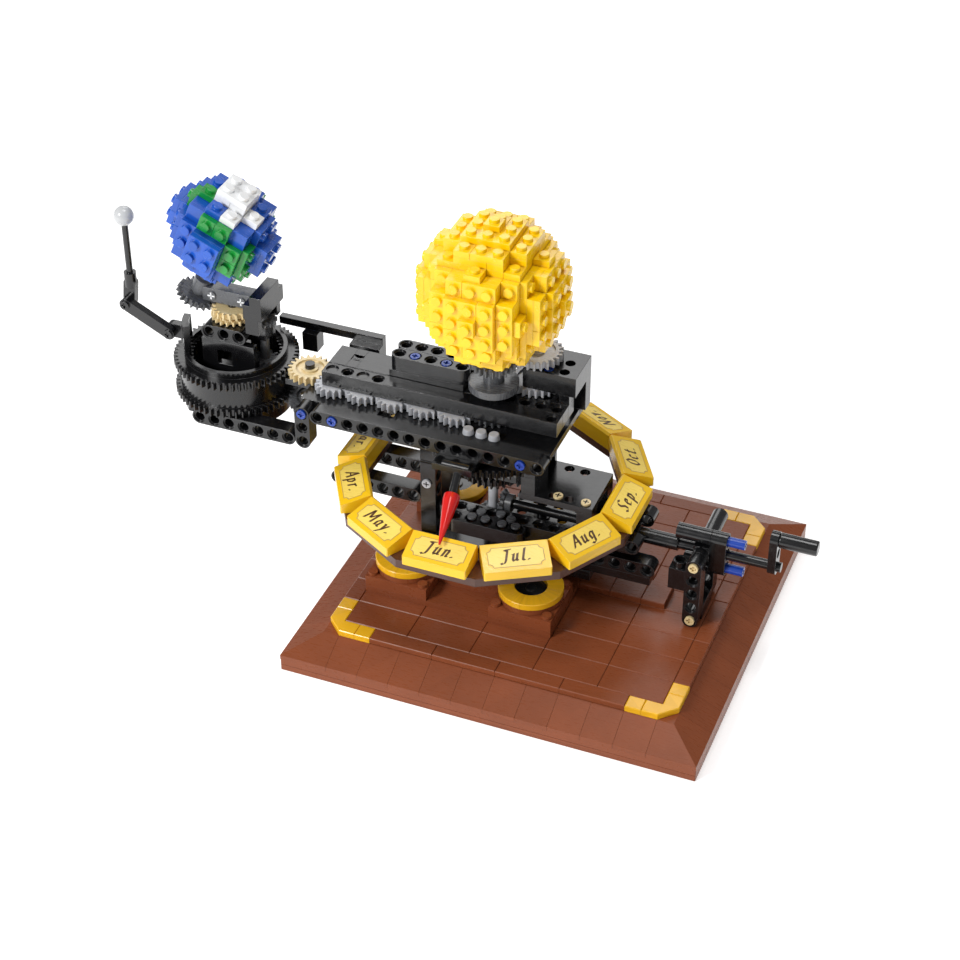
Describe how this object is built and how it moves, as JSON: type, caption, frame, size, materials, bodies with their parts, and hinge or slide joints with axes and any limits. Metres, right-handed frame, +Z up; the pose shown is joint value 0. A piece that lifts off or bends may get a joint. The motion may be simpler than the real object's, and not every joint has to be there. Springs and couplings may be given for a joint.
{
  "type": "orrery",
  "caption": "Hand-cranked brick-built orrery: a geared arm on a tiled base carries a Sun, a tilted spinning Earth and an orbiting Moon over a ring of month tiles.",
  "frame": {"origin": "centre of the underside of the base", "axes": "+X to the right along the base's long side, towards the crank; +Y to the back; +Z up"},
  "size_m": [0.3511, 0.192, 0.2127],
  "materials": {
    "brown": "glossy reddish-brown moulded plastic",
    "dark_brown": "dark brown moulded plastic",
    "gold": "warm golden-yellow moulded plastic",
    "label": "pale yellow tile with a printed month name",
    "black": "glossy black moulded plastic",
    "light_grey": "light bluish-grey moulded plastic",
    "dark_grey": "dark bluish-grey moulded plastic",
    "tan": "tan moulded plastic",
    "blue": "blue moulded pin",
    "red": "bright red moulded cone",
    "sun_yellow": "bright yellow studded plates",
    "ocean": "blue studded plates",
    "land": "green studded plates",
    "ice": "white studded plates",
    "pearl": "pearl grey ball"
  },
  "bodies": {
    "base": {"base_plates": "brown", "edge_slopes": "brown", "top_tiles": "brown", "gold_corner_tiles": "gold", "pedestal_core": "brown", "pedestal_corner_stacks": "brown", "gold_ring_tiles": "gold", "tower_plates": "black", "tower_frame": "black", "month_ring_frame": "dark_brown", "month_tiles": "label", "fixed_turntable": "black", "crank_bracket": "black", "blue_bracket_pins": "blue", "tan_bracket_pins": "tan"},
    "crank": {"crank_shaft": "black", "crank_bevel_gear": "dark_grey", "crank_web": "black", "crank_handle": "black"},
    "drive_shaft": {"drive_shaft": "light_grey", "drive_shaft_gears": "dark_grey"},
    "first_lay_shaft": {"first_lay_gears": "black"},
    "second_lay_shaft": {"second_lay_gears": "dark_grey"},
    "arm": {"arm_floor": "black", "arm_side_beams": "black", "arm_hub": "black", "arm_deck": "black", "idler_pins": "black", "arm_raised_blocks": "black", "pointer_bracket": "black", "pointer_cone": "red", "blue_arm_pins": "blue", "season_bearing": "black"},
    "sun_idler": {"sun_idler_gear": "light_grey"},
    "sun_lay_shaft": {"sun_lay_gears": "light_grey"},
    "sun": {"sun_hub": "dark_grey", "sun_ball": "sun_yellow"},
    "season_idler_1": {"season_idler_gear_1": "dark_grey"},
    "season_idler_2": {"season_idler_gear_2": "tan"},
    "season_idler_3": {"season_idler_gear_3": "dark_grey"},
    "moon_idler_1": {"moon_idler_gear_1": "light_grey"},
    "moon_idler_2": {"moon_idler_gear_2": "light_grey"},
    "moon_idler_3": {"moon_idler_gear_3": "light_grey"},
    "moon_idler_4": {"moon_idler_gear_4": "light_grey"},
    "moon_idler_5": {"moon_idler_gear_5": "light_grey"},
    "moon_transfer": {"moon_transfer_gear": "tan"},
    "earth_stage": {"season_wheel": "black", "stage_walls": "black", "stage_beams": "black", "earth_head_bracket": "black", "earth_axle_arm": "dark_grey"},
    "earth_lay_shaft": {"earth_lay_gears": "dark_grey"},
    "earth_idler": {"earth_idler_gear": "tan"},
    "earth": {"earth_axle": "dark_grey", "earth_ocean": "ocean", "earth_land": "land", "earth_ice": "ice"},
    "moon": {"moon_ring": "black", "moon_arm": "black", "moon_ball": "pearl"}
  },
  "joints": [
    {"name": "arm_orbit", "type": "hinge", "parent": "base", "child": "arm", "pos_m": [-0.032, 0, 0.0974], "axis": [0, 0, 1], "continuous": true},
    {"name": "second_lay_turn", "type": "hinge", "parent": "base", "child": "second_lay_shaft", "pos_m": [-0.02243, 0.01756, 0.07], "axis": [0, 0, 1], "continuous": true},
    {"name": "first_lay_turn", "type": "hinge", "parent": "base", "child": "first_lay_shaft", "pos_m": [-0.00945, 0.00821, 0.05], "axis": [0, 0, 1], "continuous": true},
    {"name": "drive_turn", "type": "hinge", "parent": "base", "child": "drive_shaft", "pos_m": [-0.032, 0, 0.05], "axis": [0, 0, 1], "continuous": true},
    {"name": "crank_turn", "type": "hinge", "parent": "base", "child": "crank", "pos_m": [-0.032, 0, 0.0552], "axis": [1, 0, 0], "continuous": true},
    {"name": "sun_idler_turn", "type": "hinge", "parent": "arm", "child": "sun_idler", "pos_m": [-0.03353, 0.00988, 0.1194], "axis": [0, 0, 1], "continuous": true},
    {"name": "sun_lay_turn", "type": "hinge", "parent": "arm", "child": "sun_lay_shaft", "pos_m": [-0.01644, 0.01556, 0.1194], "axis": [0, 0, 1], "continuous": true},
    {"name": "sun_spin", "type": "hinge", "parent": "arm", "child": "sun", "pos_m": [-0.032, 0, 0.135], "axis": [0, 0, 1], "continuous": true},
    {"name": "season_idler_1_turn", "type": "hinge", "parent": "arm", "child": "season_idler_1", "pos_m": [-0.076, 0, 0.0913], "axis": [0, 0, 1], "continuous": true},
    {"name": "season_idler_2_turn", "type": "hinge", "parent": "arm", "child": "season_idler_2", "pos_m": [-0.1, 0, 0.0913], "axis": [0, 0, 1], "continuous": true},
    {"name": "season_idler_3_turn", "type": "hinge", "parent": "arm", "child": "season_idler_3", "pos_m": [-0.124, 0, 0.0913], "axis": [0, 0, 1], "continuous": true},
    {"name": "moon_idler_1_turn", "type": "hinge", "parent": "arm", "child": "moon_idler_1", "pos_m": [-0.048, -0.008, 0.1069], "axis": [0, 0, 1], "continuous": true},
    {"name": "moon_idler_2_turn", "type": "hinge", "parent": "arm", "child": "moon_idler_2", "pos_m": [-0.064, -0.008, 0.1069], "axis": [0, 0, 1], "continuous": true},
    {"name": "moon_idler_3_turn", "type": "hinge", "parent": "arm", "child": "moon_idler_3", "pos_m": [-0.08, -0.008, 0.1069], "axis": [0, 0, 1], "continuous": true},
    {"name": "moon_idler_4_turn", "type": "hinge", "parent": "arm", "child": "moon_idler_4", "pos_m": [-0.096, -0.008, 0.1069], "axis": [0, 0, 1], "continuous": true},
    {"name": "moon_idler_5_turn", "type": "hinge", "parent": "arm", "child": "moon_idler_5", "pos_m": [-0.112, -0.008, 0.1069], "axis": [0, 0, 1], "continuous": true},
    {"name": "moon_transfer_turn", "type": "hinge", "parent": "arm", "child": "moon_transfer", "pos_m": [-0.128, 0, 0.1069], "axis": [0, 0, 1], "continuous": true},
    {"name": "season_hold", "type": "hinge", "parent": "arm", "child": "earth_stage", "pos_m": [-0.168, 0, 0.0913], "axis": [0, 0, 1], "continuous": true},
    {"name": "earth_lay_turn", "type": "hinge", "parent": "earth_stage", "child": "earth_lay_shaft", "pos_m": [-0.152, 0, 0.1069], "axis": [0, 0, 1], "continuous": true},
    {"name": "earth_idler_turn", "type": "hinge", "parent": "earth_stage", "child": "earth_idler", "pos_m": [-0.168, 0, 0.1305], "axis": [0, 0, 1], "continuous": true},
    {"name": "earth_spin", "type": "hinge", "parent": "earth_stage", "child": "earth", "pos_m": [-0.168, 0, 0.1807], "axis": [0.3971, 0, 0.9178], "continuous": true},
    {"name": "moon_orbit", "type": "hinge", "parent": "earth_stage", "child": "moon", "pos_m": [-0.168, 0, 0.1069], "axis": [0, 0, 1], "continuous": true}
  ],
  "couplings": [
    {"joint": "second_lay_turn", "follows": "arm_orbit", "ratio": -2.3333},
    {"joint": "first_lay_turn", "follows": "arm_orbit", "ratio": 7},
    {"joint": "drive_turn", "follows": "arm_orbit", "ratio": -35},
    {"joint": "crank_turn", "follows": "arm_orbit", "ratio": -35},
    {"joint": "sun_idler_turn", "follows": "arm_orbit", "ratio": 24},
    {"joint": "sun_lay_turn", "follows": "arm_orbit", "ratio": -12},
    {"joint": "sun_spin", "follows": "arm_orbit", "ratio": 14.4},
    {"joint": "season_idler_1_turn", "follows": "arm_orbit", "ratio": 2.1429},
    {"joint": "season_idler_2_turn", "follows": "arm_orbit", "ratio": -3},
    {"joint": "season_idler_3_turn", "follows": "arm_orbit", "ratio": 2.1429},
    {"joint": "moon_idler_1_turn", "follows": "arm_orbit", "ratio": 45},
    {"joint": "moon_idler_2_turn", "follows": "arm_orbit", "ratio": -45},
    {"joint": "moon_idler_3_turn", "follows": "arm_orbit", "ratio": 45},
    {"joint": "moon_idler_4_turn", "follows": "arm_orbit", "ratio": -45},
    {"joint": "moon_idler_5_turn", "follows": "arm_orbit", "ratio": 45},
    {"joint": "moon_transfer_turn", "follows": "arm_orbit", "ratio": -36},
    {"joint": "season_hold", "follows": "arm_orbit", "ratio": -1},
    {"joint": "earth_lay_turn", "follows": "arm_orbit", "ratio": 47.667},
    {"joint": "earth_idler_turn", "follows": "arm_orbit", "ratio": -28.6},
    {"joint": "earth_spin", "follows": "arm_orbit", "ratio": 28.6},
    {"joint": "moon_orbit", "follows": "arm_orbit", "ratio": 13}
  ]
}
